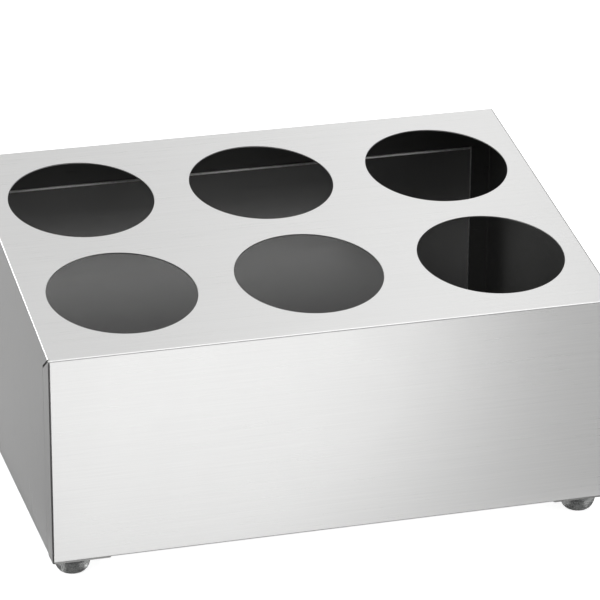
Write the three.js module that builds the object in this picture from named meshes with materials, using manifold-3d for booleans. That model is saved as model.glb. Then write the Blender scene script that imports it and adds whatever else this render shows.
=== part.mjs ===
// Counter-top stand for cutlery baskets: a folded steel hood with six round holes in its slanted top,
// a back panel inside it, and a rubber foot on a plate at each corner.
// Millimetres, +Z up, +X to the right, the front faces -Y. The origin is on the table, under the middle.
import * as THREE from "three";
import { mergeVertices } from "three/addons/utils/BufferGeometryUtils.js";
import Module from "manifold-3d";

const wasm = await Module();
wasm.setup();

// Hood
const hoodWidth = 385;
const hoodDepth = 262;
const frontHeight = 144;
const topSlope = THREE.MathUtils.degToRad(9.4);
const sheet = 1;
const bendRadius = 1.3;
const bottomFlange = 10;
const rearTopFlange = 28;
const rearSideFlange = 15;

// Holes in the slanted top
const holeDiameter = 100;
const holeColumns = 3;
const holeRows = 2;
const columnPitch = 127.5;
const rowPitch = 122;

// Return flange of the front on each side, with its mitred relief slit and the seam below it
const returnFlange = 17.5;
const slitInset = 2;
const slitRise = 0.5;
const slitSlope = THREE.MathUtils.degToRad(34.5);
const slitWidth = 1.6;
const slitNotch = 0.4;
const seamWidth = 0.4;
const seamDepth = 0.3;

// Back panel
const panelDepth = 2.5;

// Foot plates
const plateSheet = 1;
const plateWidth = 39;
const plateDepth = 31;
const plateSideInset = 0.3;
const plateFrontInset = 1;
const plateOuterEdge = 15.5;
const plateCornerRadius = 1.5;

// Rubber feet
const footInsetX = 16.5;
const footInsetY = 17;
const footRadius = 12.5;
const footHeight = 13;
const footWall = 1;
const footRound = 5.8;
const footRecessRadius = 5;
const footRecessDepth = 7.5;

// Fasteners
const screwRadius = 2.5;
const screwClearance = 0.3;
const screwHeadRadius = 4.2;
const screwHeadHeight = 3.2;
const screwCrown = 1.2;
const screwTip = 1.5;
const driveLength = 5;
const driveWidth = 1.1;
const driveDepth = 1.6;
const washerRadius = 4.7;
const washerHeight = 1;
const nutAcrossFlats = 8;
const nutHeight = 4;

// How far a cut runs past the sheet that it cuts
const overrun = 3;

// Steps of round stretches
const bendSteps = 4;
const holeSteps = 72;
const footSteps = 32;
const footArcSteps = 7;
const fastenerSteps = 24;
const crownSteps = 3;

const panelBottom = footHeight + plateSheet;
const frontTop = panelBottom + frontHeight;
const topLength = hoodDepth / Math.cos(topSlope);
const rearTop = frontTop + hoodDepth * Math.tan(topSlope);
const halfWidth = hoodWidth / 2;
const halfDepth = hoodDepth / 2;

const steel = { color: 0xc9cbcb, roughness: 0.36, metalness: 1 };
const dullSteel = { color: 0xaeb1b2, roughness: 0.45, metalness: 1 };
const zinc = { color: 0x9fa3a6, roughness: 0.4, metalness: 1 };
const rubber = { color: 0x8e9090, roughness: 0.3, metalness: 0, transparent: true, opacity: 0.75 };

// A closed geometry as a solid that can be joined and cut
function solidOf(geometry) {
  const bare = geometry.clone();
  bare.deleteAttribute("normal");
  bare.deleteAttribute("uv");
  const merged = mergeVertices(bare);
  return new wasm.Manifold(
    new wasm.Mesh({
      numProp: 3,
      vertProperties: new Float32Array(merged.attributes.position.array),
      triVerts: new Uint32Array(merged.index.array),
    }),
  );
}

function geometryOf(solid) {
  const mesh = solid.getMesh();
  const geometry = new THREE.BufferGeometry();
  geometry.setAttribute("position", new THREE.BufferAttribute(mesh.vertProperties, 3));
  geometry.setIndex(new THREE.BufferAttribute(mesh.triVerts, 1));
  geometry.computeVertexNormals();
  return geometry;
}

// A box given by its lowest and highest corner
function boxBetween(low, high) {
  const box = new THREE.BoxGeometry(high[0] - low[0], high[1] - low[1], high[2] - low[2]);
  return box.translate((low[0] + high[0]) / 2, (low[1] + high[1]) / 2, (low[2] + high[2]) / 2);
}

// A polygon whose corners, each [x, y, radius], are rounded by arcs
function roundedShape(corners, steps = bendSteps) {
  const points = [];
  corners.forEach(([x, y, radius], i) => {
    const corner = new THREE.Vector2(x, y);
    if (radius <= 0) {
      points.push(corner);
      return;
    }
    const before = corners[(i + corners.length - 1) % corners.length];
    const after = corners[(i + 1) % corners.length];
    const toBefore = new THREE.Vector2(before[0] - x, before[1] - y).normalize();
    const toAfter = new THREE.Vector2(after[0] - x, after[1] - y).normalize();
    const halfAngle = Math.acos(toBefore.dot(toAfter)) / 2;
    const middle = toBefore.clone().add(toAfter).normalize();
    const centre = corner.clone().addScaledVector(middle, radius / Math.sin(halfAngle));
    const start = corner.clone().addScaledVector(toBefore, radius / Math.tan(halfAngle)).sub(centre);
    const end = corner.clone().addScaledVector(toAfter, radius / Math.tan(halfAngle)).sub(centre);
    const turn = Math.atan2(start.cross(end), start.dot(end));
    for (let step = 0; step <= steps; step += 1) {
      const point = start.clone().rotateAround(new THREE.Vector2(), (turn * step) / steps);
      points.push(point.add(centre));
    }
  });
  return new THREE.Shape(points);
}

function extruded(shape, length) {
  return new THREE.ExtrudeGeometry(shape, { depth: length, bevelEnabled: false });
}

// A shape drawn in [y, z], extruded along X from one x to another
function alongX(shape, from, to) {
  const axes = new THREE.Matrix4().makeBasis(
    new THREE.Vector3(0, 1, 0),
    new THREE.Vector3(0, 0, 1),
    new THREE.Vector3(1, 0, 0),
  );
  return extruded(shape, to - from).applyMatrix4(axes).translate(from, 0, 0);
}

// A shape drawn in [x, z], extruded along Y from one y to another
function alongY(shape, from, to) {
  const turned = extruded(shape, to - from).rotateX(Math.PI / 2);
  return turned.translate(0, to, 0);
}

// The hood's outer form moved inward by an inset: a slanted block with bent edges
function hoodBlock(inset) {
  const radius = bendRadius - inset;
  const side = halfWidth - inset;
  const front = inset - halfDepth;
  const back = halfDepth - inset;
  const bottom = panelBottom + inset;
  const heightAt = (y) => frontTop + (y + halfDepth) * Math.tan(topSlope) - inset / Math.cos(topSlope);
  const profile = roundedShape([
    [front, bottom, radius],
    [back, bottom, 0],
    [back, heightAt(back), radius],
    [front, heightAt(front), radius],
  ]);
  const crossSection = roundedShape([
    [-side, -rearTop, 0],
    [side, -rearTop, 0],
    [side, -inset, radius],
    [-side, -inset, radius],
  ]);
  const plan = roundedShape([
    [-side, front, radius],
    [side, front, radius],
    [side, back, radius],
    [-side, back, radius],
  ]);
  const foot = roundedShape([
    [-side, bottom, radius],
    [side, bottom, radius],
    [side, rearTop, 0],
    [-side, rearTop, 0],
  ]);
  const slanted = extruded(crossSection, topLength + rearTop + rearTop)
    .translate(0, 0, -rearTop - topLength)
    .rotateX(Math.PI / 2 + topSlope)
    .translate(0, -halfDepth, frontTop);
  return solidOf(alongX(profile, -halfWidth, halfWidth))
    .intersect(solidOf(slanted))
    .intersect(solidOf(extruded(plan, rearTop)))
    .intersect(solidOf(alongY(foot, -halfDepth, halfDepth)));
}

// The places of the holes on the slanted top, as [x, distance up the slope from the front bend]
function holePlaces() {
  const places = [];
  for (let row = 0; row < holeRows; row += 1) {
    for (let column = 0; column < holeColumns; column += 1) {
      const x = (column - (holeColumns - 1) / 2) * columnPitch;
      const along = topLength / 2 + (row - (holeRows - 1) / 2) * rowPitch;
      places.push([x, along]);
    }
  }
  return places;
}

function holeCutter([x, along]) {
  const radius = holeDiameter / 2;
  return new THREE.CylinderGeometry(radius, radius, sheet + overrun * 2, holeSteps)
    .rotateX(Math.PI / 2 + topSlope)
    .translate(
      x,
      along * Math.cos(topSlope) - halfDepth,
      frontTop + along * Math.sin(topSlope),
    );
}

// The relief slit of a return flange, cut through the side, and the shallow seam from its end down
function flangeCutters(side) {
  const run = returnFlange - slitInset;
  const start = [slitInset - halfDepth, frontTop + slitRise];
  const end = [returnFlange - halfDepth, start[1] - run * Math.tan(slitSlope)];
  const wide = slitWidth / Math.cos(slitSlope);
  const slit = new THREE.Shape([
    new THREE.Vector2(start[0], start[1]),
    new THREE.Vector2(start[0], start[1] - wide),
    new THREE.Vector2(end[0], end[1] - wide),
    new THREE.Vector2(end[0], end[1]),
  ]);
  const reach = sheet + slitNotch;
  const from = side > 0 ? halfWidth - reach : -halfWidth - overrun;
  const through = alongX(slit, from, from + reach + overrun);
  const seamSkin = halfWidth - seamDepth;
  const seam = boxBetween(
    [seamSkin, end[0] - seamWidth / 2, panelBottom - overrun],
    [halfWidth + overrun, end[0] + seamWidth / 2, end[1] - wide / 2],
  );
  if (side < 0) seam.rotateZ(Math.PI).translate(0, end[0] * 2, 0);
  return [through, seam];
}

function housingShell() {
  const wallInside = halfWidth - bottomFlange;
  const bottomMouth = boxBetween(
    [-wallInside, bottomFlange - halfDepth, panelBottom - overrun],
    [wallInside, halfDepth - sheet, panelBottom + sheet + overrun],
  );
  const rearInside = halfWidth - rearSideFlange;
  const rearMouth = boxBetween(
    [-rearInside, halfDepth - sheet - overrun, panelBottom - overrun],
    [rearInside, halfDepth + overrun, rearTop - rearTopFlange],
  );
  const cutters = [bottomMouth, rearMouth, ...holePlaces().map(holeCutter)];
  cutters.push(...flangeCutters(1), ...flangeCutters(-1));
  let shell = hoodBlock(0).subtract(hoodBlock(sheet));
  for (const cutter of cutters) {
    shell = shell.subtract(solidOf(cutter));
  }
  return geometryOf(shell);
}

// A shallow tray in the opening between the rear flanges: its face stands forward, and its lips run
// back to the flanges' edges
function backPanel() {
  const side = halfWidth - rearSideFlange;
  const top = rearTop - rearTopFlange;
  const face = halfDepth - panelDepth;
  const block = (inset, rear) => {
    const radius = bendRadius - inset;
    const edge = side - inset;
    const plan = roundedShape([
      [-edge, face + inset, radius],
      [edge, face + inset, radius],
      [edge, rear, 0],
      [-edge, rear, 0],
    ]);
    const profile = roundedShape([
      [face + inset, panelBottom + inset, radius],
      [rear, panelBottom + inset, 0],
      [rear, top - inset, 0],
      [face + inset, top - inset, radius],
    ]);
    return solidOf(extruded(plan, top)).intersect(solidOf(alongX(profile, -edge, edge)));
  };
  return geometryOf(block(0, halfDepth).subtract(block(sheet, halfDepth + overrun)));
}

// A corner plate with its outer rear corner cut away, drawn for the front-right corner
function footPlate(sideX, sideY) {
  const outer = halfWidth - plateSideInset;
  const front = halfDepth - plateFrontInset;
  const inner = outer - plateWidth;
  const back = front - plateDepth;
  const cut = plateDepth - plateOuterEdge;
  const corners = [
    [outer, front, plateCornerRadius],
    [outer, front - plateOuterEdge, plateCornerRadius],
    [outer - cut, back, plateCornerRadius],
    [inner, back, plateCornerRadius],
    [inner, front, plateCornerRadius],
  ];
  const shape = roundedShape(corners.map(([x, y, radius]) => [x * sideX, y * sideY, radius]));
  const hole = new THREE.Path();
  const holeRadius = screwRadius + screwClearance;
  hole.absarc((halfWidth - footInsetX) * sideX, (halfDepth - footInsetY) * sideY, holeRadius, 0, Math.PI * 2);
  shape.holes.push(hole);
  const plate = new THREE.ExtrudeGeometry(shape, {
    depth: plateSheet,
    bevelEnabled: false,
    curveSegments: fastenerSteps,
  });
  return plate.translate(0, 0, footHeight);
}

// Turned pieces have their axis at x = y = 0 and stand at their real height
function turned(points, steps) {
  const profile = points.map(([radius, height]) => new THREE.Vector2(radius, height));
  return new THREE.LatheGeometry(profile, steps).rotateX(Math.PI / 2);
}

function rubberFoot() {
  const boreRadius = screwRadius + screwClearance;
  const roundHeight = footHeight - footWall;
  const points = [
    [boreRadius, footRecessDepth],
    [footRecessRadius, footRecessDepth],
    [footRecessRadius, 0],
  ];
  for (let step = 0; step <= footArcSteps; step += 1) {
    const angle = ((step / footArcSteps) * Math.PI) / 2;
    const radius = footRadius - footRound + footRound * Math.sin(angle);
    points.push([radius, roundHeight - roundHeight * Math.cos(angle)]);
  }
  points.push([footRadius, footHeight], [boreRadius, footHeight], [boreRadius, footRecessDepth]);
  return turned(points, footSteps);
}

function washer() {
  const boreRadius = screwRadius + screwClearance;
  const top = footRecessDepth;
  const bottom = top - washerHeight;
  return turned(
    [
      [boreRadius, bottom],
      [washerRadius, bottom],
      [washerRadius, top],
      [boreRadius, top],
      [boreRadius, bottom],
    ],
    fastenerSteps,
  );
}

// A pan-head screw, head down, with a crossed drive recess
function screw() {
  const seat = footRecessDepth - washerHeight;
  const headBottom = seat - screwHeadHeight;
  const tip = footHeight + plateSheet + nutHeight + screwTip;
  const points = [];
  for (let step = 0; step <= crownSteps; step += 1) {
    const angle = ((step / crownSteps) * Math.PI) / 2;
    points.push([screwHeadRadius * Math.sin(angle), headBottom + screwCrown * (1 - Math.cos(angle))]);
  }
  points.push([screwHeadRadius, seat], [screwRadius, seat], [screwRadius, tip - screwTip / 2]);
  points.push([screwRadius - screwTip / 2, tip], [0, tip]);
  const long = driveLength / 2;
  const narrow = driveWidth / 2;
  const low = headBottom - overrun;
  const high = headBottom + driveDepth;
  return geometryOf(
    solidOf(turned(points, fastenerSteps))
      .subtract(solidOf(boxBetween([-long, -narrow, low], [long, narrow, high])))
      .subtract(solidOf(boxBetween([-narrow, -long, low], [narrow, long, high]))),
  );
}

function nut() {
  const shape = new THREE.Shape();
  const reach = nutAcrossFlats / 2 / Math.cos(Math.PI / 6);
  for (let corner = 0; corner < 6; corner += 1) {
    const angle = (corner * Math.PI) / 3;
    const point = [reach * Math.cos(angle), reach * Math.sin(angle)];
    if (corner === 0) shape.moveTo(...point);
    else shape.lineTo(...point);
  }
  const bore = new THREE.Path();
  bore.absarc(0, 0, screwRadius + screwClearance, 0, Math.PI * 2);
  shape.holes.push(bore);
  const body = new THREE.ExtrudeGeometry(shape, {
    depth: nutHeight,
    bevelEnabled: false,
    curveSegments: fastenerSteps,
  });
  return body.translate(0, 0, footHeight + plateSheet);
}

const group = new THREE.Group();

function addPiece(name, geometry, look, place = [0, 0]) {
  const mesh = new THREE.Mesh(geometry, new THREE.MeshStandardMaterial(look));
  mesh.name = name;
  mesh.position.set(place[0], place[1], 0);
  group.add(mesh);
}

addPiece("housing_shell", housingShell(), steel);
addPiece("back_panel", backPanel(), dullSteel);
for (const [row, sideY] of [["front", -1], ["rear", 1]]) {
  for (const [column, sideX] of [["left", -1], ["right", 1]]) {
    const corner = row + "_" + column;
    const place = [(halfWidth - footInsetX) * sideX, (halfDepth - footInsetY) * sideY];
    addPiece("foot_plate_" + corner, footPlate(sideX, sideY), steel);
    addPiece("foot_" + corner, rubberFoot(), rubber, place);
    addPiece("foot_washer_" + corner, washer(), zinc, place);
    addPiece("foot_screw_" + corner, screw(), zinc, place);
    addPiece("foot_nut_" + corner, nut(), zinc, place);
  }
}

export default group;
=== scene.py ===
"""A counter stand for cutlery baskets: the folded hood with six round holes, the pan in its back,
the foot plates, the clear rubber feet and their fasteners, finished in a plain pale studio."""

import math
from collections import namedtuple

import bmesh
import bpy
from bpy.props import FloatProperty, FloatVectorProperty, IntProperty, PointerProperty
from bpy.types import Operator, Panel, PropertyGroup
from mathutils import Matrix, Vector


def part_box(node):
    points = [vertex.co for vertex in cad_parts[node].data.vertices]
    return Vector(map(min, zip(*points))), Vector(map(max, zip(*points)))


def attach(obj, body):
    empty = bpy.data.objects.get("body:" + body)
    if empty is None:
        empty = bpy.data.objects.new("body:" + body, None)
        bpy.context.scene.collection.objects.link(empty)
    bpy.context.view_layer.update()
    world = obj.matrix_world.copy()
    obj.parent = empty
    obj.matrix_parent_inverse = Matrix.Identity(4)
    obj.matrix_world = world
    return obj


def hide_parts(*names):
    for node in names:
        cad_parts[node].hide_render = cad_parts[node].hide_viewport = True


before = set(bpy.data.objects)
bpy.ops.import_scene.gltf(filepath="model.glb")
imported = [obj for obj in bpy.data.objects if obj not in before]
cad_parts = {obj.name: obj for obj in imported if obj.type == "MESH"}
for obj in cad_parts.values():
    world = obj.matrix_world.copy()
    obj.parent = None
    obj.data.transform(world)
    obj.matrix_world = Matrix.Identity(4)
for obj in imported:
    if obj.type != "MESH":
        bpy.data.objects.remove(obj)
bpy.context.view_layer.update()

bl_info = {
    "name": "Cutlery Stand",
    "version": (1, 0, 0),
    "blender": (4, 5, 0),
    "location": "View3D > Sidebar > Stand",
    "description": "Models and finishes a counter stand for cutlery baskets",
    "category": "Add Mesh",
}

BODY = "root"
CORNERS = {
    "front_left": (-1, -1),
    "front_right": (1, -1),
    "rear_left": (-1, 1),
    "rear_right": (1, 1),
}
HOOD_LOW, HOOD_HIGH = (Vector(corner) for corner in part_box("housing_shell"))
PAN_LOW, PAN_HIGH = (Vector(corner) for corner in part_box("back_panel"))

# A length in metres that counts as nothing
SLACK = 1e-6
# The turns from which two faces are shaded as flat ones that meet: sheet, round pieces and nuts
SHEET_TURN = math.radians(40)
ROUND_TURN = math.radians(50)
NUT_TURN = math.radians(25)
# The turn from which an edge of a piece is a cut edge
CUT_TURN = math.radians(60)
# Tack welds along each side of the pan, counted with the two corners, which have none
WELDS_ACROSS = 7
WELDS_UP = 5
DRUM_SIDES = 64
# How many times the thickness of what it cuts a cutter is deep
THROUGH = 3
# A turned piece starts so many times nearer to its axis than its edge
AXIS_PARTS = 100
# The colour sockets of a mix node
MIX_FIRST = 6
MIX_SECOND = 7
MIX_RESULT = 2

Fall = namedtuple("Fall", "start end bright dull")


def length(name, description, default):
    """A size in metres that a user can change."""
    return FloatProperty(
        name=name, description=description, default=default, min=0, unit="LENGTH", precision=5
    )


def angle(name, description, degrees):
    """A turn that a user can change, kept in radians."""
    return FloatProperty(
        name=name, description=description, default=math.radians(degrees), subtype="ANGLE"
    )


def colour(name, description, default):
    """A plain colour that a user can change."""
    return FloatVectorProperty(
        name=name, description=description, default=default, size=3, min=0, max=1, subtype="COLOR"
    )


def share(name, description, default):
    """A plain factor that a user can change."""
    return FloatProperty(name=name, description=description, default=default, min=0)


class HoodSizes(PropertyGroup):
    front_height: length("Front Height", "Height of the front panel", 0.144)
    top_slope: angle("Top Slope", "Slant of the top, rising to the rear", 9.4)
    sheet: length("Sheet", "Thickness of the sheet", 0.001)
    bend_radius: length("Bend Radius", "Outer radius of the bends", 0.0013)
    bend_steps: IntProperty(name="Bend Steps", description="Faces round a bend", default=4, min=2)
    bottom_flange: length("Bottom Flange", "Width of the flanges turned in at the bottom", 0.010)
    rear_top_flange: length("Rear Top Flange", "Height of the flange below the rear bend", 0.028)
    rear_side_flange: length("Rear Side Flange", "Width of the flanges beside the back", 0.015)
    hole_diameter: length("Hole Diameter", "Holes that the baskets hang in", 0.100)
    hole_steps: IntProperty(name="Hole Steps", description="Sides of a hole", default=160, min=32)
    columns: IntProperty(name="Columns", description="Holes across", default=3, min=1)
    rows: IntProperty(name="Rows", description="Holes up the slope", default=2, min=1)
    column_pitch: length("Column Pitch", "Distance between holes across", 0.1275)
    row_pitch: length("Row Pitch", "Distance between holes up the slope", 0.122)
    edge_break: length("Edge Break", "Small bevel on every cut edge", 0.00016)
    return_flange: length("Return Flange", "Width of the front's flange on each side", 0.0175)
    slit_inset: length("Slit Inset", "Where the relief slit starts behind the front", 0.002)
    slit_rise: length("Slit Rise", "Where the relief slit starts above the front bend", 0.0005)
    slit_slope: angle("Slit Slope", "Fall of the mitred relief slit", 34.5)
    slit_width: length("Slit Width", "Width of the relief slit", 0.0016)
    slit_notch: length("Slit Notch", "How far the slit cuts into the top's edge", 0.0004)
    seam_width: length("Seam Width", "Width of the seam beside the return flange", 0.0004)
    seam_depth: length("Seam Depth", "Depth of the seam beside the return flange", 0.0003)
    weld_radius: length("Weld Radius", "Half the width of a ground tack weld", 0.0022)
    weld_depth: length("Weld Depth", "Hollow of a ground tack weld", 0.00012)


class FootSizes(PropertyGroup):
    plate_outer_edge: length("Plate Outer Edge", "Length of the plate along the side", 0.0155)
    plate_corner: length("Plate Corner", "Radius of the plate's corners", 0.0015)
    bore: length("Bore", "Diameter of the screw's clearance hole", 0.0056)
    round_width: length("Round Width", "How far the foot's rounding runs in", 0.0058)
    wall: length("Wall", "Height of the foot's upright wall", 0.001)
    recess_radius: length("Recess Radius", "Radius of the recess for the screw head", 0.005)
    recess_depth: length("Recess Depth", "Depth of the recess for the screw head", 0.0075)
    soft_edge: length("Soft Edge", "Rounding of the moulded edges", 0.0004)
    shank_radius: length("Shank Radius", "Radius of the screw", 0.0025)
    head_crown: length("Head Crown", "Doming of the screw head", 0.0012)
    thread_pitch: length("Thread Pitch", "Pitch of the screw's thread", 0.0008)
    thread_depth: length("Thread Depth", "Depth of the screw's thread", 0.0004)
    drive_length: length("Drive Length", "Length of the crossed drive recess", 0.005)
    drive_width: length("Drive Width", "Width of the crossed drive recess", 0.0011)
    drive_depth: length("Drive Depth", "Depth of the crossed drive recess", 0.0016)
    nut_chamfer: length("Nut Chamfer", "Fall of the nut's chamfer at its corners", 0.0006)
    turned_steps: IntProperty(name="Turned Steps", description="Sides of a turned piece", default=64)


class Finish(PropertyGroup):
    sheet_colour: colour("Sheet Colour", "Brushed stainless sheet", (0.75, 0.75, 0.745))
    # Darkened far below the sheet: painted shade inside the hood and in its relief slits
    inside_shade_colour: colour("Inside Colour", "Dull inside of the hood", (0.18, 0.18, 0.178))
    pan_colour: colour("Pan Colour", "Plain sheet of the pan", (0.62, 0.62, 0.615))
    # Lighter than the pan: a painted highlight on the pan's front bends, which the edge roughness
    # below also finishes
    pan_bend_highlight_colour: colour("Pan Edge Colour", "Ground edges of the pan", (0.85, 0.85, 0.84))
    inside_roughness: share("Inside Roughness", "Mean roughness of the inside", 0.30)
    pan_roughness: share("Pan Roughness", "Mean roughness of the pan", 0.21)
    # Far darker than the hood's sheet: painted shade of the plates under the hood
    plate_shade_colour: colour("Plate Colour", "Plain sheet of the foot plates", (0.36, 0.36, 0.355))
    zinc_colour: colour("Zinc Colour", "Plated fasteners", (0.62, 0.64, 0.66))
    rubber_colour: colour("Rubber Colour", "Smoky clear rubber", (0.36, 0.365, 0.36))
    sheet_roughness: share("Sheet Roughness", "Mean roughness of the brushed sheet", 0.30)
    edge_roughness: share("Edge Roughness", "Mean roughness of the pan's ground edges", 0.5)
    plate_roughness: share("Plate Roughness", "Mean roughness of the foot plates", 0.36)
    zinc_roughness: share("Zinc Roughness", "Mean roughness of the fasteners", 0.34)


class Studio(PropertyGroup):
    lens: FloatProperty(name="Lens", description="Focal length", default=209.785, unit="CAMERA")
    camera_place: FloatVectorProperty(
        name="Camera Place",
        description="Where the camera stands",
        default=(-0.60012, -2.11953, 1.06238),
        size=3,
        subtype="XYZ",
        unit="LENGTH",
    )
    camera_turn: angle("Camera Turn", "Turn of the camera to the right of the depth axis", 16.0897)
    camera_fall: angle("Camera Fall", "Fall of the camera's line of sight", 23.0411)
    camera_roll: angle("Camera Roll", "Roll of the camera about its line of sight", 0.382)
    floor_colour: colour("Floor Colour", "Pale floor", (0.86, 0.86, 0.86))
    ambient: share("Ambient", "Strength of the even light from all round", 0.8)
    floor_glow: share("Floor Glow", "How white the floor is seen", 0.85)


class StandSettings(PropertyGroup):
    hood: PointerProperty(type=HoodSizes)
    foot: PointerProperty(type=FootSizes)
    finish: PointerProperty(type=Finish)
    studio: PointerProperty(type=Studio)


# Modelling helpers


def close(a, b, slack=SLACK):
    return abs(a - b) < slack


def make_active(piece):
    bpy.ops.object.select_all(action="DESELECT")
    piece.select_set(True)
    bpy.context.view_layer.objects.active = piece


def settle(piece):
    """Puts a piece's place, turn and scale into its mesh."""
    make_active(piece)
    bpy.ops.object.transform_apply(location=True, rotation=True, scale=True)
    return piece


def named(name):
    piece = bpy.context.active_object
    piece.name = name
    piece.data.name = name
    return piece


def add_block(name, low, high):
    """A box between two corners."""
    low, high = Vector(low), Vector(high)
    bpy.ops.object.select_all(action="DESELECT")
    bpy.ops.mesh.primitive_cube_add(size=1, location=(low + high) / 2, scale=high - low)
    return settle(named(name))


def add_drum(name, radius, depth, place, turn=(0, 0, 0), sides=DRUM_SIDES):
    """A cylinder about its own place."""
    bpy.ops.object.select_all(action="DESELECT")
    bpy.ops.mesh.primitive_cylinder_add(
        vertices=sides, radius=radius, depth=depth, location=place, rotation=turn
    )
    return settle(named(name))


def pick(piece, kind, test):
    """Opens a piece in edit mode with the faces, edges or vertices that pass a test selected."""
    if piece.mode != "EDIT":
        make_active(piece)
        bpy.ops.object.mode_set(mode="EDIT")
    bpy.ops.mesh.select_mode(type=kind)
    bpy.ops.mesh.select_all(action="DESELECT")
    mesh = bmesh.from_edit_mesh(piece.data)
    mesh.normal_update()
    items = {"FACE": mesh.faces, "EDGE": mesh.edges, "VERT": mesh.verts}[kind]
    found = [item for item in items if test(item)]
    if not found:
        raise RuntimeError(f"nothing to select on {piece.name}")
    for item in found:
        item.select_set(True)
    mesh.select_flush_mode()
    bmesh.update_edit_mesh(piece.data)
    return len(found)


def leave_edit():
    bpy.ops.object.mode_set(mode="OBJECT")


def apply_modifier(piece, kind, **values):
    make_active(piece)
    bpy.ops.object.modifier_add(type=kind)
    modifier = piece.modifiers[-1]
    for key, value in values.items():
        setattr(modifier, key, value)
    bpy.ops.object.modifier_apply(modifier=modifier.name)


def gather(piece, place, reach):
    """Brings the vertices within reach of a place together on it."""
    if pick(piece, "VERT", lambda v: (v.co - place).length < reach) > 1:
        bpy.ops.mesh.merge(type="CENTER")
    mesh = bmesh.from_edit_mesh(piece.data)
    found = next(v.co.copy() for v in mesh.verts if v.select)
    bpy.ops.transform.translate(value=place - found)


def round_bends(piece, radius, steps, is_bend):
    """Rounds the edges that pass a test to one radius, whatever the angle that they turn."""
    digits = 4
    slack = 1e-3
    pick(piece, "EDGE", is_bend)
    mesh = bmesh.from_edit_mesh(piece.data)
    turns = {round(edge.calc_face_angle(), digits) for edge in mesh.edges if edge.select}
    widest = math.tan(max(turns) / 2)
    for turn in turns:

        def has_turn(edge):
            return is_bend(edge) and close(edge.calc_face_angle(), turn, slack)

        pick(piece, "EDGE", has_turn)
        bpy.ops.transform.edge_bevelweight(value=math.tan(turn / 2) / widest)
    leave_edit()
    apply_modifier(
        piece,
        "BEVEL",
        width=radius * widest,
        segments=steps,
        profile=0.5,
        limit_method="WEIGHT",
        use_clamp_overlap=False,
    )


def joined(cutters):
    """Several cutters as one object."""
    bpy.ops.object.select_all(action="DESELECT")
    for cutter in cutters:
        cutter.select_set(True)
    bpy.context.view_layer.objects.active = cutters[0]
    if len(cutters) > 1:
        bpy.ops.object.join()
    return cutters[0]


def cut(piece, cutters, operation="DIFFERENCE"):
    """Cuts a piece with the cutters, or keeps what they share, and removes the cutters."""
    cutter = joined(cutters)
    apply_modifier(piece, "BOOLEAN", operation=operation, solver="EXACT", object=cutter)
    tool = cutter.data
    bpy.data.objects.remove(cutter)
    bpy.data.meshes.remove(tool)


def break_edges(piece, width, skip=None):
    """Takes the sharpness off every cut edge."""

    def is_cut(edge):
        sharp = edge.is_manifold and edge.calc_face_angle() > CUT_TURN
        return sharp and not (skip and skip(edge))

    pick(piece, "EDGE", is_cut)
    bpy.ops.mesh.bevel(offset=width, segments=2, profile=0.5, affect="EDGES", clamp_overlap=False)
    leave_edit()


def even_shading(piece, turn=SHEET_TURN):
    """Smooth bends beside flat faces that stay flat."""
    make_active(piece)
    bpy.ops.object.shade_smooth_by_angle(angle=turn)
    apply_modifier(piece, "WEIGHTED_NORMAL", mode="FACE_AREA", weight=100, keep_sharp=True)


def add_turned(name, place, profile, sides):
    """A piece turned about an upright axis from [radius, height] points that close on themselves."""
    x, y = place
    radius, height = profile[0]
    bpy.ops.object.select_all(action="DESELECT")
    bpy.ops.mesh.primitive_circle_add(vertices=sides, radius=radius, location=(x, y, height))
    piece = settle(named(name))
    make_active(piece)
    bpy.ops.object.mode_set(mode="EDIT")
    bpy.ops.mesh.select_mode(type="EDGE")
    bpy.ops.mesh.select_all(action="SELECT")
    for next_radius, next_height in profile[1:]:
        bpy.ops.mesh.extrude_edges_move(
            TRANSFORM_OT_translate={"value": (0, 0, next_height - height)}
        )
        scale = next_radius / radius
        bpy.ops.transform.resize(value=(scale, scale, 1), center_override=(x, y, next_height))
        radius, height = next_radius, next_height
    bpy.ops.mesh.select_all(action="SELECT")
    bpy.ops.mesh.remove_doubles(threshold=SLACK)
    bpy.ops.mesh.normals_make_consistent(inside=False)
    leave_edit()
    return piece


def spread(first, last, count):
    """So many values from the first to the last, evenly spaced."""
    return [first + (last - first) * step / (count - 1) for step in range(count)]


def arc(centre, radius_x, radius_z, start, end, steps):
    """Points of an elliptic arc, as [radius, height], with angles in degrees."""
    points = []
    for step in range(steps + 1):
        turn = math.radians(start + (end - start) * step / steps)
        points.append(
            (centre[0] + radius_x * math.cos(turn), centre[1] + radius_z * math.sin(turn))
        )
    return points


def dress(piece, material, node):
    """Gives a piece its finish and its body, and hides the CAD node that it stands for."""
    piece.data.materials.clear()
    piece.data.materials.append(material)
    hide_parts(node)
    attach(piece, BODY)


def to_corners(piece, stem, look, turn=SHEET_TURN):
    """Copies a piece that was modelled at the front left to all four corners, and dresses them."""
    copies = {}
    for corner, (side_x, side_y) in CORNERS.items():
        copies[corner] = piece
        if (side_x, side_y) != (-1, -1):
            make_active(piece)
            bpy.ops.object.duplicate(linked=False)
            copies[corner] = named(stem + "_dressed_" + corner)
            bpy.ops.object.mode_set(mode="EDIT")
            bpy.ops.mesh.select_all(action="SELECT")
            bpy.ops.transform.resize(value=(-side_x, -side_y, 1), center_override=(0, 0, 0))
            bpy.ops.mesh.normals_make_consistent(inside=False)
            leave_edit()
    for corner, copy in copies.items():
        dress(copy, look, stem + "_" + corner)
        even_shading(copy, turn)


# Finishes


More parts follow.
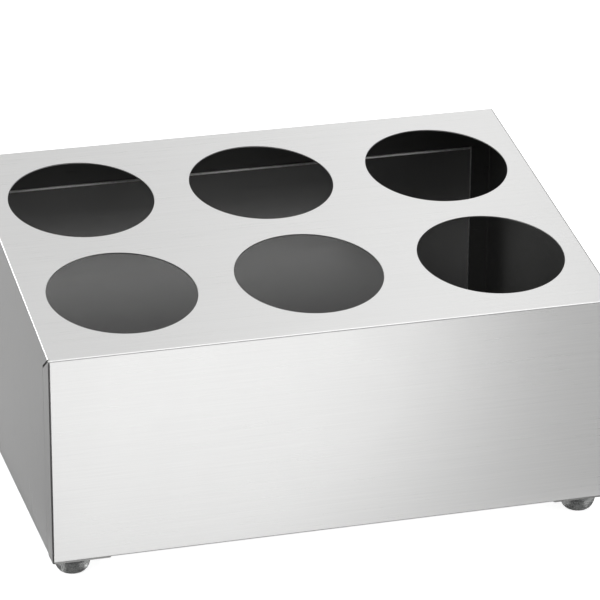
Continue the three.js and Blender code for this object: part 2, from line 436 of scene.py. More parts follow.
class Nodes:
    """A short way to write a material's nodes."""

    def __init__(self, name):
        self.material = bpy.data.materials.new(name)
        self.material.use_nodes = True
        self.tree = self.material.node_tree
        self.tree.nodes.clear()
        self.output = self.add("ShaderNodeOutputMaterial")

    def add(self, kind, inputs=None, **values):
        node = self.tree.nodes.new(kind)
        for key, value in values.items():
            setattr(node, key, value)
        for key, value in (inputs or {}).items():
            if isinstance(value, bpy.types.NodeSocket):
                self.tree.links.new(value, node.inputs[key])
            else:
                node.inputs[key].default_value = value
        return node

    def place(self, scale):
        """Object coordinates at a scale along each axis."""
        source = self.add("ShaderNodeTexCoord").outputs["Object"]
        return self.add("ShaderNodeMapping", {"Vector": source, "Scale": scale}).outputs[0]

    def noise(self, scale, detail=2.0, roughness=0.5, distortion=0.0):
        """Noise with so many waves to the metre along each axis."""
        return self.add(
            "ShaderNodeTexNoise",
            {
                "Vector": self.place(scale),
                "Scale": 1.0,
                "Detail": detail,
                "Roughness": roughness,
                "Distortion": distortion,
            },
        ).outputs["Fac"]

    def span(self, value, low, high, start=0.0, end=1.0):
        """A value stretched from one span to another."""
        return self.add(
            "ShaderNodeMapRange",
            {"Value": value, "From Min": start, "From Max": end, "To Min": low, "To Max": high},
        ).outputs[0]

    def sum(self, first, second, factor):
        """The first value, with a part of the second added to it."""
        scaled = self.add("ShaderNodeMath", {0: second, 1: factor}, operation="MULTIPLY").outputs[0]
        return self.add("ShaderNodeMath", {0: first, 1: scaled}, operation="ADD").outputs[0]

    def tone(self, base, value, low, high):
        """A base colour made lighter and darker by a value."""
        dark = tuple(part * low for part in base) + (1.0,)
        light = tuple(min(part * high, 1.0) for part in base) + (1.0,)
        mix = self.add("ShaderNodeMix", data_type="RGBA")
        self.tree.links.new(value, mix.inputs["Factor"])
        mix.inputs[MIX_FIRST].default_value = dark
        mix.inputs[MIX_SECOND].default_value = light
        return mix.outputs[MIX_RESULT]

    def finish(self, shader):
        self.tree.links.new(shader.outputs[0], self.output.inputs["Surface"])
        return self.material


def brushed_sheet(name, base, roughness, grain, grain_share=1.0):
    """Brushed steel whose grain runs along X, Y or Z, and which spreads light across that grain."""
    n = Nodes(name)
    along = {"X": 0, "Y": 1, "Z": 2}[grain]

    def streaks(run, across, detail):
        scale = [across] * 3
        scale[along] = run
        return n.noise(tuple(scale), detail=detail, roughness=0.6)

    fine = streaks(run=22.0, across=2600.0, detail=3.0)
    coarse = streaks(run=7.0, across=520.0, detail=2.0)
    cloud = n.noise(scale=(9.0, 9.0, 9.0), detail=3.0)
    smear = n.noise(scale=(38.0, 30.0, 30.0), detail=4.0, distortion=0.6)
    lines = n.sum(n.span(fine, low=0.0, high=0.6), coarse, factor=0.25)
    pattern = n.sum(lines, cloud, factor=0.15)
    grain_depth = 0.035 * grain_share
    gloss_depth = 0.03
    shade = n.span(pattern, low=0.0, high=1.0, start=0.35, end=0.65)
    tone = n.tone(base, shade, low=1 - grain_depth, high=1 + grain_depth)
    gloss = n.sum(
        n.span(pattern, roughness - gloss_depth, roughness + gloss_depth, start=0.35, end=0.65),
        n.span(smear, low=-0.5, high=0.5),
        factor=0.04,
    )
    height = n.sum(fine, coarse, factor=0.4)
    bump = n.add(
        "ShaderNodeBump", {"Strength": 0.06 * grain_share, "Distance": 0.00003, "Height": height}
    )
    tangent = n.add("ShaderNodeTangent", direction_type="RADIAL", axis=grain)
    shader = n.add(
        "ShaderNodeBsdfPrincipled",
        {
            "Base Color": tone,
            "Metallic": 1.0,
            "Roughness": gloss,
            "Normal": bump.outputs[0],
            "Anisotropic": 0.5,
            "Tangent": tangent.outputs[0],
        },
    )
    return n.finish(shader)


def plain_metal(name, base, roughness, wave=160.0):
    """Metal with a fine mottled surface, for the pan's edges, the plates and the fasteners."""
    n = Nodes(name)
    fine_wave = wave * 14
    mottle = n.noise(scale=(wave, wave, wave), detail=5.0, roughness=0.6)
    speckle = n.noise(scale=(fine_wave, fine_wave, fine_wave), detail=2.0)
    pattern = n.sum(n.span(mottle, low=0.0, high=0.7), speckle, factor=0.3)
    shade = n.span(pattern, low=0.0, high=1.0, start=0.3, end=0.7)
    tone = n.tone(base, shade, low=0.86, high=1.06)
    glossy, dull = roughness - 0.07, roughness + 0.09
    gloss = n.span(pattern, low=glossy, high=dull, start=0.3, end=0.7)
    bump = n.add("ShaderNodeBump", {"Strength": 0.1, "Distance": 0.00005, "Height": pattern})
    shader = n.add(
        "ShaderNodeBsdfPrincipled",
        {"Base Color": tone, "Metallic": 1.0, "Roughness": gloss, "Normal": bump.outputs[0]},
    )
    return n.finish(shader)


def weld_tint(name, base):
    """The dull straw-grey face of a ground tack weld."""
    n = Nodes(name)
    straw = (0.80, 0.76, 0.68)
    mottle = n.noise(scale=(900.0, 900.0, 900.0), detail=4.0)
    tinted = tuple(part * tint for part, tint in zip(base, straw))
    tone = n.tone(tinted, mottle, low=0.8, high=1.15)
    gloss = n.span(mottle, low=0.38, high=0.6)
    shader = n.add(
        "ShaderNodeBsdfPrincipled", {"Base Color": tone, "Metallic": 1.0, "Roughness": gloss}
    )
    return n.finish(shader)


def smoky_rubber(name, base):
    """Soft clear rubber with a smoky tint, faint swirls and a satin skin."""
    n = Nodes(name)
    swirl = n.noise(scale=(260.0, 260.0, 420.0), detail=3.0, distortion=1.2)
    skin = n.noise(scale=(3200.0, 3200.0, 3200.0), detail=2.0)
    tone = n.tone(base, swirl, low=0.8, high=1.2)
    bump = n.add("ShaderNodeBump", {"Strength": 0.15, "Distance": 0.00004, "Height": skin})
    shader = n.add(
        "ShaderNodeBsdfPrincipled",
        {
            "Base Color": tone,
            "Roughness": n.span(swirl, low=0.2, high=0.34),
            "IOR": 1.45,
            "Transmission Weight": 0.8,
            "Normal": bump.outputs[0],
        },
    )
    return n.finish(shader)


# The hood


def hole_places(sizes):
    """Each hole's centre on the slanted top."""
    front_top = HOOD_LOW.z + sizes.front_height
    run = (HOOD_HIGH.y - HOOD_LOW.y) / math.cos(sizes.top_slope)
    middle = (HOOD_LOW.x + HOOD_HIGH.x) / 2
    for row in range(sizes.rows):
        along = run / 2 + (row - (sizes.rows - 1) / 2) * sizes.row_pitch
        for column in range(sizes.columns):
            x = middle + (column - (sizes.columns - 1) / 2) * sizes.column_pitch
            yield Vector(
                (
                    x,
                    HOOD_LOW.y + along * math.cos(sizes.top_slope),
                    front_top + along * math.sin(sizes.top_slope),
                )
            )


def rear_foot(sizes, side):
    """The inner corner where a side, its bottom flange and its rear flange meet."""
    outer = Vector((HOOD_HIGH.x * side, HOOD_HIGH.y, HOOD_LOW.z))
    return outer - Vector((side, 1, -1)) * sizes.sheet


def folded_block(sizes):
    """The hood as a thin shell: a slanted block, opened below and behind, bent and given its sheet."""
    low, high = HOOD_LOW, HOOD_HIGH
    front_top = low.z + sizes.front_height
    rear_top = front_top + (high.y - low.y) * math.tan(sizes.top_slope)
    hood = add_block("hood", low, (high.x, high.y, rear_top))
    pick(hood, "VERT", lambda v: close(v.co.y, low.y) and close(v.co.z, rear_top))
    bpy.ops.transform.translate(value=(0, 0, front_top - rear_top))

    def at_rear(face):
        return all(close(v.co.y, high.y) for v in face.verts)

    def at_bottom(face):
        return all(close(v.co.z, low.z) for v in face.verts)

    jamb = high.x - sizes.rear_side_flange
    lintel = rear_top - sizes.rear_top_flange
    inner = high.x - sizes.bottom_flange
    sill = low.y + sizes.bottom_flange
    for test, point, normal in (
        (at_rear, (jamb, 0, 0), (1, 0, 0)),
        (at_rear, (-jamb, 0, 0), (1, 0, 0)),
        (at_rear, (0, 0, lintel), (0, 0, 1)),
        (at_bottom, (inner, 0, 0), (1, 0, 0)),
        (at_bottom, (-inner, 0, 0), (1, 0, 0)),
        (at_bottom, (0, sill, 0), (0, 1, 0)),
    ):
        pick(hood, "FACE", test)
        bpy.ops.mesh.bisect(plane_co=point, plane_no=normal)

    def in_mouth(face):
        middle = face.calc_center_median()
        behind = at_rear(face) and abs(middle.x) < jamb and middle.z < lintel
        below = at_bottom(face) and abs(middle.x) < inner and middle.y > sill
        return behind or below

    pick(hood, "FACE", in_mouth)
    bpy.ops.mesh.delete(type="FACE")

    def is_bend(edge):
        behind = all(close(v.co.y, high.y) and close(v.co.z, low.z) for v in edge.verts)
        return edge.is_manifold and edge.calc_face_angle() > CUT_TURN and not behind

    round_bends(hood, sizes.bend_radius, sizes.bend_steps, is_bend)
    apply_modifier(
        hood, "SOLIDIFY", thickness=sizes.sheet, offset=-1, use_even_offset=True, use_rim=True
    )
    foot_reach = sizes.sheet * 0.7
    fold_reach = sizes.sheet * 1.2
    for side in (-1, 1):
        foot = rear_foot(sizes, side)
        gather(hood, foot, foot_reach)
        fold = Vector((inner * side, foot.y, foot.z))
        gather(hood, fold, fold_reach)
    leave_edit()
    return hood


def relief_cutters(sizes, side):
    """The mitred slit of a return flange, and the shallow seam that runs down from it."""
    front_top = HOOD_LOW.z + sizes.front_height
    start = Vector((0, HOOD_LOW.y + sizes.slit_inset, front_top + sizes.slit_rise))
    run = (sizes.return_flange - sizes.slit_inset) / math.cos(sizes.slit_slope)
    reach = sizes.sheet * THROUGH
    face = HOOD_HIGH.x * side
    root = face - (sizes.sheet + sizes.slit_notch) * side
    outside = face + reach * side
    slit = add_block(
        "slit",
        (min(root, outside), 0, -sizes.slit_width),
        (max(root, outside), run, 0),
    )
    slit.rotation_euler = (-sizes.slit_slope, 0, 0)
    slit.location = start
    settle(slit)
    end_y = HOOD_LOW.y + sizes.return_flange
    end_z = start.z - run * math.sin(sizes.slit_slope)
    skin = face - sizes.seam_depth * side
    seam = add_block(
        "seam",
        (min(skin, outside), end_y - sizes.seam_width / 2, HOOD_LOW.z - reach),
        (max(skin, outside), end_y + sizes.seam_width / 2, end_z),
    )
    return [slit, seam]


def weld_places():
    """The tack welds on the seam round the pan, each as [x, z]."""
    places = [(x, PAN_HIGH.z) for x in spread(PAN_LOW.x, PAN_HIGH.x, WELDS_ACROSS)[1:-1]]
    for z in spread(PAN_LOW.z, PAN_HIGH.z, WELDS_UP)[1:-1]:
        places += [(PAN_LOW.x, z), (PAN_HIGH.x, z)]
    return places


def weld_cutters(sizes, places):
    """Flattened balls that grind the tack welds' marks into the rear."""
    flattening = sizes.weld_depth / sizes.weld_radius
    cutters = []
    for x, z in places:
        bpy.ops.object.select_all(action="DESELECT")
        bpy.ops.mesh.primitive_uv_sphere_add(
            segments=32,
            ring_count=12,
            radius=sizes.weld_radius,
            location=(x, HOOD_HIGH.y, z),
            rotation=(math.pi / 2, 0, 0),
            scale=(1, 1, flattening),
        )
        cutters.append(settle(named("weld")))
    return cutters


def in_slit(face, sizes):
    """Whether a face is one of the relief slits' own walls."""
    aligned = 0.99
    near = face.center.y < HOOD_LOW.y + sizes.return_flange
    high = face.center.z > HOOD_LOW.z + sizes.front_height / 2
    turn = Vector((0, math.sin(sizes.slit_slope), math.cos(sizes.slit_slope)))
    return near and high and abs(face.normal.dot(turn)) > aligned


def tint_welds(piece, sizes, index):
    """Gives the faces in the tack welds' marks a material of their own."""
    deepest = HOOD_HIGH.y - sizes.weld_depth * 1.01
    shallowest = HOOD_HIGH.y - 1e-7
    for face in piece.data.polygons:
        sunk = deepest < face.center.y < shallowest
        near = any(
            math.hypot(face.center.x - x, face.center.z - z) < sizes.weld_radius
            for x, z in weld_places()
        )
        if sunk and near and face.area < sizes.weld_radius**2:
            face.material_index = index


def skin_depth(point, sizes):
    """How far a point lies inside the hood's outer faces."""
    rise = point.z - (HOOD_LOW.z + sizes.front_height) - (
        (point.y - HOOD_LOW.y) * math.tan(sizes.top_slope)
    )
    return min(
        -rise * math.cos(sizes.top_slope),
        HOOD_HIGH.x - abs(point.x),
        HOOD_HIGH.y - abs(point.y),
        point.z - HOOD_LOW.z,
    )


def fold_hood(settings):
    sizes, finish = settings.hood, settings.finish
    hood = folded_block(sizes)
    radius = sizes.hole_diameter / 2
    depth = sizes.sheet * 8
    slope = (sizes.top_slope, 0, 0)
    drums = [
        add_drum("hole", radius, depth, place, slope, sizes.hole_steps)
        for place in hole_places(sizes)
    ]
    cut(hood, drums)
    corner = sizes.bend_radius * 3

    def at_corner(edge):
        upright = all(
            abs(v.co.x) > HOOD_HIGH.x - corner and abs(v.co.y) > HOOD_HIGH.y - corner
            for v in edge.verts
        )
        low_rear = all(
            v.co.y > HOOD_HIGH.y - corner and v.co.z < HOOD_LOW.z + corner for v in edge.verts
        )
        return upright or low_rear

    break_edges(hood, sizes.edge_break, at_corner)
    for cutters in zip(relief_cutters(sizes, 1), relief_cutters(sizes, -1)):
        cut(hood, cutters)
    cut(hood, weld_cutters(sizes, weld_places()))
    wide = brushed_sheet("brushed_wide", finish.sheet_colour, finish.sheet_roughness, "X")
    upright = brushed_sheet("brushed_upright", finish.sheet_colour, finish.sheet_roughness, "Z")
    # The inside faces and the slits' walls take a dark sheet, which paints the shade inside the hood
    # and in the slits
    inside = brushed_sheet(
        "inside_painted_shade", finish.inside_shade_colour, finish.inside_roughness, "X", grain_share=0.6
    )
    weld = weld_tint("weld_tint", finish.sheet_colour)
    dress(hood, wide, "housing_shell")
    for look in (upright, inside, weld):
        hood.data.materials.append(look)
    on_side, on_shaded_inside, on_weld = 1, 2, 3
    inner_face = sizes.sheet * 0.8
    sideways = 0.8
    for face in hood.data.polygons:
        if skin_depth(face.center, sizes) > inner_face or in_slit(face, sizes):
            face.material_index = on_shaded_inside
        elif abs(face.normal.x) > sideways:
            face.material_index = on_side
    tint_welds(hood, sizes, on_weld)
    feet = [rear_foot(sizes, side) for side in (-1, 1)]

    def at_foot(edge):
        return any((v.co - foot).length < sizes.edge_break for v in edge.verts for foot in feet)

    pick(hood, "EDGE", at_foot)
    bpy.ops.mesh.mark_sharp()
    leave_edit()
    even_shading(hood)


class StandFoldHood(Operator):
    """Fold the hood: top, front, sides and flanges, with its six holes and corner seams"""

    bl_idname = "stand.fold_hood"
    bl_label = "Fold Hood"

    def execute(self, context):
        fold_hood(context.scene.cutlery_stand)
        return {"FINISHED"}


# The pan in the back


def press_pan(settings):
    sizes, finish = settings.hood, settings.finish
    low, high = PAN_LOW, PAN_HIGH
    pan = add_block("pan", low, high)

    def at_rear(face):
        return all(close(v.co.y, high.y) for v in face.verts)

    pick(pan, "FACE", at_rear)
    bpy.ops.mesh.delete(type="ONLY_FACE")

    def is_bend(edge):
        return edge.is_manifold and all(close(v.co.y, low.y) for v in edge.verts)

    leave_edit()
    round_bends(pan, sizes.bend_radius, sizes.bend_steps, is_bend)
    apply_modifier(
        pan, "SOLIDIFY", thickness=sizes.sheet, offset=-1, use_even_offset=True, use_rim=True
    )

    def in_front(edge):
        return any(v.co.y < high.y - sizes.sheet / 2 for v in edge.verts)

    break_edges(pan, sizes.edge_break, in_front)
    cut(pan, weld_cutters(sizes, weld_places()))
    look = brushed_sheet(
        "pan_face", finish.pan_colour, finish.pan_roughness, "X", grain_share=0.6
    )
    dress(pan, look, "back_panel")
    pan.data.materials.append(weld_tint("pan_weld_tint", finish.pan_colour))
    # The pan's front bends take a lighter metal, a painted highlight along the pan's edges
    pan.data.materials.append(
        plain_metal("pan_bend_highlight", finish.pan_bend_highlight_colour, finish.edge_roughness)
    )
    on_weld, on_bend_highlight = 1, 2
    square = 0.995
    for face in pan.data.polygons:
        bent = max(abs(part) for part in face.normal) < square
        if bent and face.center.y < low.y + sizes.bend_radius:
            face.material_index = on_bend_highlight
    tint_welds(pan, sizes, on_weld)
    even_shading(pan)


class StandPressPan(Operator):
    """Press the pan that closes the back, with its lips turned to the rear"""

    bl_idname = "stand.press_pan"
    bl_label = "Press Pan"

    def execute(self, context):
        press_pan(context.scene.cutlery_stand)
        return {"FINISHED"}


# Foot plates, feet and fasteners


def foot_axis():
    """Where the front left foot and its screw stand."""
    low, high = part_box("foot_front_left")
    return (low[0] + high[0]) / 2, (low[1] + high[1]) / 2


def corner_box(stem):
    """The lowest and highest corners of a CAD piece at the front left."""
    low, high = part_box(stem + "_front_left")
    return Vector(low), Vector(high)


def cut_plates(settings):
    sizes = settings.foot
    low, high = corner_box("foot_plate")
    plate = add_block("foot_plate_dressed_front_left", low, high)
    chamfer = (high.y - low.y) - sizes.plate_outer_edge

    def upright(edge):
        a, b = edge.verts
        return close(a.co.x, b.co.x) and close(a.co.y, b.co.y)

    def outer_back(edge):
        point = edge.verts[0].co
        return upright(edge) and close(point.x, low.x) and close(point.y, high.y)

    pick(plate, "EDGE", outer_back)
    bpy.ops.mesh.bevel(offset=chamfer, segments=1, affect="EDGES")
    pick(plate, "EDGE", upright)
    bpy.ops.mesh.bevel(offset=sizes.plate_corner, segments=6, affect="EDGES")
    leave_edit()
    middle = Vector((*foot_axis(), (low.z + high.z) / 2))
    thickness = high.z - low.z
    cut(plate, [add_drum("bore", sizes.bore / 2, thickness * THROUGH, middle)])
    break_edges(plate, settings.hood.edge_break)
    finish = settings.finish
    # The plates' dark tone paints the shade under the hood
    look = plain_metal("plate_metal_shaded", finish.plate_shade_colour, finish.plate_roughness)
    to_corners(plate, "foot_plate", look)


class StandCutPlates(Operator):
    """Cut the four corner plates that carry the feet"""

    bl_idname = "stand.cut_plates"
    bl_label = "Cut Foot Plates"

    def execute(self, context):
        cut_plates(context.scene.cutlery_stand)
        return {"FINISHED"}


def mould_feet(settings):
    sizes = settings.foot
    low, high = corner_box("foot")
    bottom, top = low.z, high.z
    radius = (high.x - low.x) / 2
    soft = sizes.soft_edge
    wall_low = top - sizes.wall
    recess_top = bottom + sizes.recess_depth
    ring = radius - sizes.round_width
    inner = sizes.recess_radius - soft
    rim = sizes.recess_radius + soft
    bore = sizes.bore / 2
    profile = [(bore, recess_top)]
    profile += arc((inner, recess_top - soft), soft, soft, start=90, end=0, steps=4)
    profile += arc((rim, bottom + soft), soft, soft, start=180, end=270, steps=5)
    profile += arc(
        (ring, wall_low), sizes.round_width, wall_low - bottom, start=-90, end=0, steps=22
    )
    profile += arc((radius - soft, top - soft), soft, soft, start=0, end=90, steps=4)
    profile += [(bore, top), (bore, recess_top)]
    foot = add_turned("foot_dressed_front_left", foot_axis(), profile, sizes.turned_steps)
    look = smoky_rubber("smoky_rubber", settings.finish.rubber_colour)
    to_corners(foot, "foot", look, ROUND_TURN)


class StandMouldFeet(Operator):
    """Mould the four clear rubber feet"""

    bl_idname = "stand.mould_feet"
    bl_label = "Mould Feet"

    def execute(self, context):
        mould_feet(context.scene.cutlery_stand)
        return {"FINISHED"}


def turn_washers(sizes, look):
    low, high = corner_box("foot_washer")
    radius = (high.x - low.x) / 2
    soft = (high.z - low.z) / 5
    bore = sizes.bore / 2
    profile = arc((bore + soft, low.z + soft), soft, soft, start=180, end=270, steps=3)
    profile += arc((radius - soft, low.z + soft), soft, soft, start=-90, end=0, steps=3)
    profile += arc((radius - soft, high.z - soft), soft, soft, start=0, end=90, steps=3)
    profile += arc((bore + soft, high.z - soft), soft, soft, start=90, end=180, steps=3)
    profile.append(profile[0])
    washer = add_turned(
        "foot_washer_dressed_front_left", foot_axis(), profile, sizes.turned_steps
    )
    to_corners(washer, "foot_washer", look)


def turn_screws(sizes, look):
    low, high = corner_box("foot_screw")
    seat = corner_box("foot_washer")[0].z
    head = (high.x - low.x) / 2
    shank = sizes.shank_radius
    groove = shank - sizes.thread_depth
    point = shank * 0.7
    soft = sizes.soft_edge
    crown = sizes.head_crown
    tiny = head / AXIS_PARTS
    profile = [(tiny, low.z)]
    profile += arc((0, low.z + crown), head, crown, start=-80, end=0, steps=6)
    profile += arc((head - soft, seat - soft), soft, soft, start=0, end=90, steps=3)
    profile += [(shank, seat)]
    pitch = sizes.thread_pitch
    height = seat + pitch
    while height < high.z - pitch * 2:
        profile += [(shank, height), (groove, height + pitch / 2)]
        height += pitch
    profile += [(shank, height), (point, high.z), (tiny, high.z)]
    screw = add_turned("foot_screw_dressed_front_left", foot_axis(), profile, sizes.turned_steps)
    pick(screw, "EDGE", lambda edge: edge.is_boundary)
    bpy.ops.mesh.fill_holes(sides=0)
    bpy.ops.mesh.select_all(action="SELECT")
    bpy.ops.mesh.normals_make_consistent(inside=False)
    leave_edit()
    long, narrow = sizes.drive_length / 2, sizes.drive_width / 2
    x, y = foot_axis()
    floor = low.z - sizes.drive_depth
    # The second bar is shallower than the first, so that no two faces lie in one plane
    for reach_x, reach_y, depth_share in ((long, narrow, 1.0), (narrow, long, 0.95)):
        roof = low.z + sizes.drive_depth * depth_share
        bar = add_block("bar", (x - reach_x, y - reach_y, floor), (x + reach_x, y + reach_y, roof))
        cut(screw, [bar])
    to_corners(screw, "foot_screw", look, ROUND_TURN)


def cut_nuts(sizes, look):
    low, high = corner_box("foot_nut")
    reach = (high.x - low.x) / 2
    height = high.z - low.z
    middle = Vector((*foot_axis(), (low.z + high.z) / 2))
    half_side = math.radians(30)
    nut = add_drum("foot_nut_dressed_front_left", reach, height, middle, (0, 0, half_side), sides=6)
    flat = reach * math.cos(half_side) * 0.98
    wide = reach * 1.03
    drop = sizes.nut_chamfer
    tiny = reach / AXIS_PARTS
    tip = flat * 2 - wide
    # The drum goes on past the nut's ends, so that no two faces lie in one plane
    drum = [(tip, low.z - drop), (wide, low.z + drop), (wide, high.z - drop), (tip, high.z + drop)]
    drum += [(tiny, high.z + drop), (tiny, low.z - drop), (tip, low.z - drop)]
    cut(nut, [add_turned("drum", foot_axis(), drum, sizes.turned_steps)], "INTERSECT")
    cut(nut, [add_drum("bore", sizes.bore / 2, height * THROUGH, middle)])
    to_corners(nut, "foot_nut", look, NUT_TURN)


class StandTurnFasteners(Operator):
    """Turn the screws and washers in the feet, and the nuts on the plates"""

    bl_idname = "stand.turn_fasteners"
    bl_label = "Turn Fasteners"

    def execute(self, context):
        settings = context.scene.cutlery_stand
        finish = settings.finish
        look = plain_metal("zinc_plate", finish.zinc_colour, finish.zinc_roughness, wave=500.0)
        turn_washers(settings.foot, look)
        turn_screws(settings.foot, look)
        cut_nuts(settings.foot, look)
        return {"FINISHED"}


# The stage


def seen_rays(tree):
    """One for rays that see the background: the camera's, and those of metal and clear rubber."""
    rays = tree.nodes.new("ShaderNodeLightPath")
    total = rays.outputs["Is Camera Ray"]
    for key in ("Is Glossy Ray", "Is Transmission Ray"):
        both = tree.nodes.new("ShaderNodeMath")
        both.operation = "MAXIMUM"
        tree.links.new(total, both.inputs[0])
        tree.links.new(rays.outputs[key], both.inputs[1])
        total = both.outputs[0]
    return total


def lay_floor(studio):
    bpy.ops.object.select_all(action="DESELECT")
    bpy.ops.mesh.primitive_plane_add(size=16, location=(0, 0, 0))
    floor = named("floor")
    n = Nodes("pale_floor")
    cloud = n.noise(scale=(3.0, 3.0, 3.0))
    tone = n.tone(studio.floor_colour, cloud, low=0.98, high=1.02)
    plain = n.add("ShaderNodeBsdfDiffuse", {"Color": tone})
    white = n.add("ShaderNodeEmission", {"Strength": studio.floor_glow})
    both = n.add("ShaderNodeAddShader", {0: plain.outputs[0], 1: white.outputs[0]})
    mix = n.add(
        "ShaderNodeMixShader",
        {"Fac": seen_rays(n.tree), 1: plain.outputs[0], 2: both.outputs[0]},
    )
    floor.data.materials.append(n.finish(mix))


def hold_card(name, place, turn, size, look):
    """A card that only the metal sees, as a photographer's grey card."""
    bpy.ops.object.select_all(action="DESELECT")
    bpy.ops.mesh.primitive_plane_add(
        size=1, location=place, rotation=[math.radians(part) for part in turn]
    )
    card = named(name)
    card.scale = (size[0], size[1], 1)
    settle(card)
    card.data.materials.append(look)
    card.visible_camera = False
    card.visible_diffuse = False
    card.visible_transmission = False
    card.visible_shadow = False


def plain_grey(name, grey):
    n = Nodes(name)
    return n.finish(n.add("ShaderNodeEmission", {"Strength": grey}))


def graded_grey(name, turn, near, far):
    """Grey that falls off along one direction. Its fall changes from one at the stand's front to
    another far ahead of it."""
    front, far_ahead = HOOD_LOW.y, HOOD_LOW.y * 4
    n = Nodes(name)
    source = n.add("ShaderNodeTexCoord").outputs["Object"]
    turned = n.add("ShaderNodeMapping", {"Vector": source, "Rotation": (0, 0, -turn)})
    along = n.add("ShaderNodeSeparateXYZ", {0: turned.outputs[0]}).outputs[0]
    depth = n.add("ShaderNodeSeparateXYZ", {0: source}).outputs[1]
    start, end, bright, dull = (
        n.span(depth, low, high, front, far_ahead) for low, high in zip(near, far)
    )
    fall = n.add(
        "ShaderNodeMapRange",
        {"Value": along, "From Min": start, "From Max": end, "To Min": bright, "To Max": dull},
        interpolation_type="SMOOTHSTEP",
    )
    return n.finish(n.add("ShaderNodeEmission", {"Strength": fall.outputs[0]}))


def hold_cards():
    """Cards on the floor and round the stage, which give the sheet what it mirrors in the photo."""
    across, up = 0, math.pi / 2
    # The graded card paints the floor ahead as the front mirrors it: painted light where the floor is
    # lit, painted shadow where the stand's own shadow falls
    graded = graded_grey(
        "graded_grey", across, Fall(-0.1, 0.215, 1.04, 0.565), Fall(0.17, 0.325, 1.33, 0.58)
    )
    one_fall = {
        "side_grey": (up, Fall(-0.13, 0.2, 0.365, 0.445)),
        # Painted shadow: the dark floor under the stand and just before its front, as the sheet
        # mirrors it
        "below_painted_shadow": (up, Fall(-0.17, 0.02, 0.33, 0.09)),
        "sky_grey": (across, Fall(0.2, 0.85, 0.78, 1.1)),
    }
    side, below, sky = (
        graded_grey(name, turn, fall, fall) for name, (turn, fall) in one_fall.items()
    )
    corner = plain_grey("corner_grey", 0.03)
    ahead = plain_grey("ahead_grey", 0.12)
    right = plain_grey("right_grey", 0.06)
    beside = plain_grey("beside_grey", 0.42)
    behind = plain_grey("behind_grey", 0.6)
    above = 0.0005
    flat, diagonal, standing = (0, 0, 0), (0, 0, -45), (90, 0, 0)
    for name, look, place, turn, size in (
        ("card_painted_light_and_shadow", graded, (0.4, -0.65, above), flat, (1.2, 1.0)),
        ("card_side", side, (-0.755, 0.68, above), flat, (1.1, 1.63)),
        ("card_corner", corner, (-0.8, -0.55, above), flat, (1.2, 0.83)),
        ("card_corner_side", corner, (-0.8285, 0.081, above * 2), diagonal, (1.2, 0.6)),
        # The card below paints the stand's shadow on the floor under it
        ("card_below_painted_shadow", below, (0, 0, above), flat, (0.406, 0.29)),
        ("card_ahead", ahead, (0, -1.7, 0.56), standing, (3.6, 1.12)),
        ("card_sky", sky, (0.6, 1.6, 1.95), standing, (3.4, 1.9)),
        ("card_right_floor", right, (1.1, 1.0, above), flat, (1.7, 2.0)),
        ("card_right", right, (1.68, 1.5, 0.8), standing, (1.4, 1.6)),
        ("card_right_front", beside, (1.1, -0.075, above), flat, (1.8, 0.15)),
        ("card_behind", behind, (0.0225, 0.8175, above), flat, (0.455, 1.355)),
    ):
        hold_card(name, place, turn, size, look)


def hang_world(studio):
    world = bpy.data.worlds.new("studio")
    bpy.context.scene.world = world
    world.use_nodes = True
    tree = world.node_tree
    tree.nodes.clear()
    output = tree.nodes.new("ShaderNodeOutputWorld")
    even = tree.nodes.new("ShaderNodeBackground")
    even.name = "even"
    even.inputs["Strength"].default_value = studio.ambient
    white = tree.nodes.new("ShaderNodeBackground")
    white.name = "white"
    white.inputs["Color"].default_value = (1, 1, 1, 1)
    mix = tree.nodes.new("ShaderNodeMixShader")
    tree.links.new(seen_rays(tree), mix.inputs["Fac"])
    tree.links.new(even.outputs[0], mix.inputs[1])
    tree.links.new(white.outputs[0], mix.inputs[2])
    tree.links.new(mix.outputs[0], output.inputs["Surface"])


def hang_lamp(name, place, target, size, power):
    """A soft square lamp that faces a point."""
    data = bpy.data.lights.new(name, "AREA")
    data.shape = "RECTANGLE"
    data.size, data.size_y = size
    data.energy = power
    lamp = bpy.data.objects.new(name, data)
    bpy.context.scene.collection.objects.link(lamp)
    lamp.location = place
    lamp.rotation_euler = (Vector(target) - Vector(place)).to_track_quat("-Z", "Y").to_euler()
    lamp.visible_camera = False


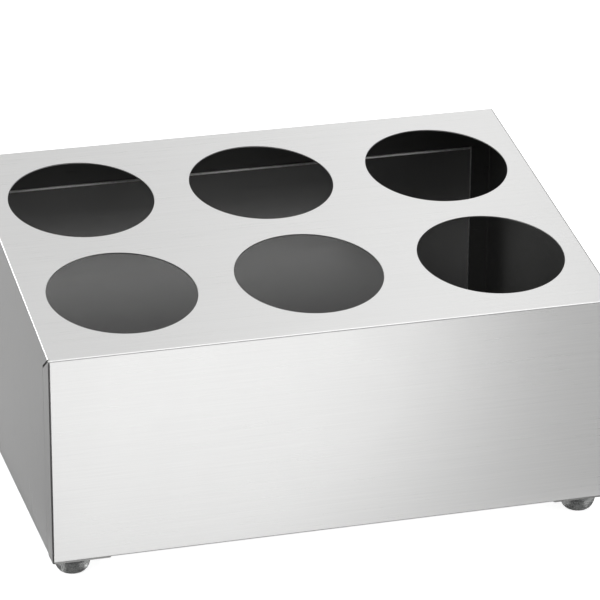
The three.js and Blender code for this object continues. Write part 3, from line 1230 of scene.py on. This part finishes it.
def set_camera(studio):
    data = bpy.data.cameras.new("camera")
    data.lens = studio.lens
    data.sensor_width = 36
    data.clip_end = 50
    camera = bpy.data.objects.new("camera", data)
    bpy.context.scene.collection.objects.link(camera)
    turn = (
        Matrix.Rotation(-studio.camera_turn, 4, "Z")
        @ Matrix.Rotation(math.pi / 2 - studio.camera_fall, 4, "X")
        @ Matrix.Rotation(studio.camera_roll, 4, "Z")
    )
    camera.matrix_world = Matrix.Translation(studio.camera_place) @ turn
    bpy.context.scene.camera = camera


class StandSetStage(Operator):
    """Lay the floor, hang the lamps and set the camera"""

    bl_idname = "stand.set_stage"
    bl_label = "Set Stage"

    def execute(self, context):
        studio = context.scene.cutlery_stand.studio
        lay_floor(studio)
        hang_world(studio)
        hold_cards()
        hang_lamp(
            "overhead", place=(0.35, -0.6, 1.5), target=(0, 0, 0.1), size=(1.1, 0.5), power=2.0
        )
        hang_lamp(
            "rear_left", place=(-1.1, 1.6, 0.45), target=(-0.1, 0, 0.15), size=(0.7, 0.7), power=5.5
        )
        set_camera(studio)
        context.scene.view_settings.view_transform = "Standard"
        return {"FINISHED"}


class StandPanel(Panel):
    """The stand's sizes and the steps that make it"""

    bl_idname = "STAND_PT_panel"
    bl_label = "Cutlery Stand"
    bl_space_type = "VIEW_3D"
    bl_region_type = "UI"
    bl_category = "Stand"

    def draw(self, context):
        settings = context.scene.cutlery_stand
        for group in (settings.hood, settings.foot, settings.finish, settings.studio):
            box = self.layout.box()
            for key in group.__annotations__:
                box.prop(group, key)
        for step in STEPS:
            self.layout.operator(step.bl_idname)


SETTINGS = (HoodSizes, FootSizes, Finish, Studio, StandSettings)
STEPS = (
    StandFoldHood,
    StandPressPan,
    StandCutPlates,
    StandMouldFeet,
    StandTurnFasteners,
    StandSetStage,
)


def register():
    for kind in (*SETTINGS, *STEPS, StandPanel):
        bpy.utils.register_class(kind)
    bpy.types.Scene.cutlery_stand = PointerProperty(type=StandSettings)


def unregister():
    del bpy.types.Scene.cutlery_stand
    for kind in reversed((*SETTINGS, *STEPS, StandPanel)):
        bpy.utils.unregister_class(kind)


def build():
    bpy.ops.stand.fold_hood()
    bpy.ops.stand.press_pan()
    bpy.ops.stand.cut_plates()
    bpy.ops.stand.mould_feet()
    bpy.ops.stand.turn_fasteners()
    bpy.ops.stand.set_stage()


def main():
    register()
    build()


if __name__ == "__main__":
    main()
